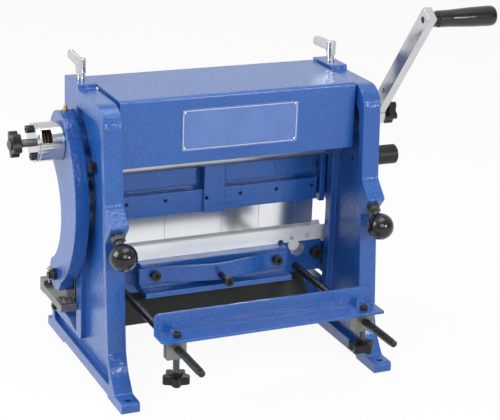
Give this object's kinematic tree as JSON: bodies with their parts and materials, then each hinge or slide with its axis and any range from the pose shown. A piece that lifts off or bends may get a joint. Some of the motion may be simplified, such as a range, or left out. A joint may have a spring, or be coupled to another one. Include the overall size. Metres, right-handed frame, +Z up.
{
  "type": "combination sheet metal machine",
  "caption": "Hand-cranked bench machine that shears, folds and rolls thin sheet: cast side frames, covered rolls, fingered press brake, blade pair, sliding stop and side crank.",
  "frame": {"origin": "on the bench, at the centre of the four foot bolts", "axes": "+X to the right, the crank's side; +Y to the back, away from the stop; +Z up"},
  "size_m": [0.6201, 0.412, 0.4726],
  "materials": {
    "blue_paint": "glossy, lightly hammered royal blue enamel on castings and sheet",
    "plate_blue": "printed plate, left bare",
    "ground_steel": "bright ground steel",
    "chrome": "polished chrome",
    "black_steel": "black oxide",
    "grey_steel": "milled grey steel",
    "black_plastic": "moulded black plastic",
    "grip_plastic": "dark glossy brown-black",
    "spring_steel": "oiled brown spring steel",
    "bronze": "bronze and brass",
    "olive_paint": "dark olive sheet"
  },
  "bodies": {
    "machine": {"left_frame": "blue_paint", "right_frame": "blue_paint", "top_cover": "blue_paint", "cover_spacers": "black_steel", "frame_bolts": "black_steel", "rear_tie_bar": "ground_steel", "nameplate": "plate_blue", "nameplate_rivets": "chrome", "upper_beam": "blue_paint", "finger_1": "ground_steel", "finger_2": "ground_steel", "finger_3": "ground_steel", "finger_4": "ground_steel", "finger_5": "ground_steel", "finger_screws": "black_steel", "shear_bed": "blue_paint", "lower_blade": "ground_steel", "chute": "olive_paint", "shaft_bushes": "bronze", "side_stub": "black_steel"},
    "drive": {"drive_shaft": "ground_steel", "crank_arm": "chrome", "grip_pin": "black_steel"},
    "grip": {"crank_grip": "grip_plastic"},
    "crank_clamp": {"crank_knob": "black_plastic"},
    "roll_set": {"roll_blocks": "grey_steel"},
    "upper_roll": {"upper_roll": "ground_steel"},
    "bending_roll": {"bending_roll": "ground_steel"},
    "wing_left": {"wing_screw_left": "chrome"},
    "wing_right": {"wing_screw_right": "chrome"},
    "ball_left": {"ball_knob_left": "black_plastic", "ball_stud_left": "black_steel"},
    "ball_right": {"ball_knob_right": "black_plastic", "ball_stud_right": "black_steel"},
    "eccentric_left": {"eccentric_left": "chrome", "end_plate": "chrome", "end_plate_screws": "black_steel", "clutch_spring": "spring_steel"},
    "eccentric_right": {"eccentric_right": "chrome"},
    "clutch": {"clutch_rod": "grey_steel", "clutch_knob": "black_plastic"},
    "beam": {"lower_beam": "blue_paint", "brake_die": "ground_steel", "crown_bar": "blue_paint", "beam_screws": "black_steel", "upper_blade": "ground_steel", "beam_links": "grey_steel", "link_bolts": "black_steel", "arm_left": "blue_paint", "arm_right": "blue_paint", "arm_pins": "black_steel", "split_pins": "ground_steel", "grease_nipples": "bronze", "stop_rods": "black_steel"},
    "stop": {"stop_angle": "blue_paint", "stop_blocks": "grey_steel", "stop_screws": "black_steel"},
    "stop_clamp_left": {"stop_knob_left": "black_plastic"},
    "stop_clamp_right": {"stop_knob_right": "black_plastic"}
  },
  "joints": [
    {"name": "crank_turn", "type": "hinge", "parent": "machine", "child": "drive", "pos_m": [0, 0.035, 0.302], "axis": [1, 0, 0], "continuous": true},
    {"name": "grip_turn", "type": "hinge", "parent": "drive", "child": "grip", "pos_m": [0.3, -0.08371, 0.4567], "axis": [1, 0, 0], "continuous": true},
    {"name": "crank_clamp_turn", "type": "hinge", "parent": "drive", "child": "crank_clamp", "pos_m": [0.26, 0.035, 0.302], "axis": [1, 0, 0], "continuous": true},
    {"name": "roll_lift", "type": "slide", "parent": "machine", "child": "roll_set", "axis": [0, 0, 1], "range_m": [0, 0.003]},
    {"name": "upper_roll_turn", "type": "hinge", "parent": "roll_set", "child": "upper_roll", "pos_m": [0, 0.04398, 0.33748], "axis": [1, 0, 0], "continuous": true},
    {"name": "bending_roll_turn", "type": "hinge", "parent": "machine", "child": "bending_roll", "pos_m": [0, 0.004, 0.276], "axis": [1, 0, 0], "continuous": true},
    {"name": "wing_left_turn", "type": "hinge", "parent": "roll_set", "child": "wing_left", "pos_m": [-0.177, 0.04398, 0.38], "axis": [0, 0, 1], "range_deg": [0, 720]},
    {"name": "wing_right_turn", "type": "hinge", "parent": "roll_set", "child": "wing_right", "pos_m": [0.177, 0.04398, 0.38], "axis": [0, 0, 1], "range_deg": [0, 720]},
    {"name": "ball_left_turn", "type": "hinge", "parent": "machine", "child": "ball_left", "pos_m": [-0.177, -0.097, 0.21485], "axis": [0, -0.7642, -0.6449], "continuous": true},
    {"name": "ball_right_turn", "type": "hinge", "parent": "machine", "child": "ball_right", "pos_m": [0.177, -0.097, 0.21485], "axis": [0, -0.7642, -0.6449], "continuous": true},
    {"name": "eccentric_left_turn", "type": "hinge", "parent": "machine", "child": "eccentric_left", "pos_m": [-0.22, 0.035, 0.302], "axis": [1, 0, 0], "range_deg": [-90, 90]},
    {"name": "eccentric_right_turn", "type": "hinge", "parent": "machine", "child": "eccentric_right", "pos_m": [0.22, 0.035, 0.302], "axis": [1, 0, 0], "range_deg": [-90, 90]},
    {"name": "clutch_slide", "type": "slide", "parent": "eccentric_left", "child": "clutch", "axis": [1, 0, 0], "range_m": [0, 0.006]},
    {"name": "beam_slide", "type": "slide", "parent": "machine", "child": "beam", "axis": [0, 0, 1], "range_m": [-0.006, 0.006]},
    {"name": "stop_slide", "type": "slide", "parent": "beam", "child": "stop", "axis": [0, 1, 0], "range_m": [-0.07, 0.11]},
    {"name": "stop_clamp_left_turn", "type": "hinge", "parent": "stop", "child": "stop_clamp_left", "pos_m": [-0.1283, -0.1775, 0.06], "axis": [0, 0, 1], "continuous": true},
    {"name": "stop_clamp_right_turn", "type": "hinge", "parent": "stop", "child": "stop_clamp_right", "pos_m": [0.1283, -0.1775, 0.06], "axis": [0, 0, 1], "continuous": true}
  ],
  "couplings": [
    {"joint": "upper_roll_turn", "follows": "crank_turn", "ratio": -1},
    {"joint": "wing_left_turn", "follows": "roll_lift", "rad_per_m": 4188.8},
    {"joint": "wing_right_turn", "follows": "roll_lift", "rad_per_m": 4188.8},
    {"joint": "eccentric_left_turn", "follows": "beam_slide", "rad_per_m": 261.8},
    {"joint": "eccentric_right_turn", "follows": "beam_slide", "rad_per_m": 261.8}
  ]
}
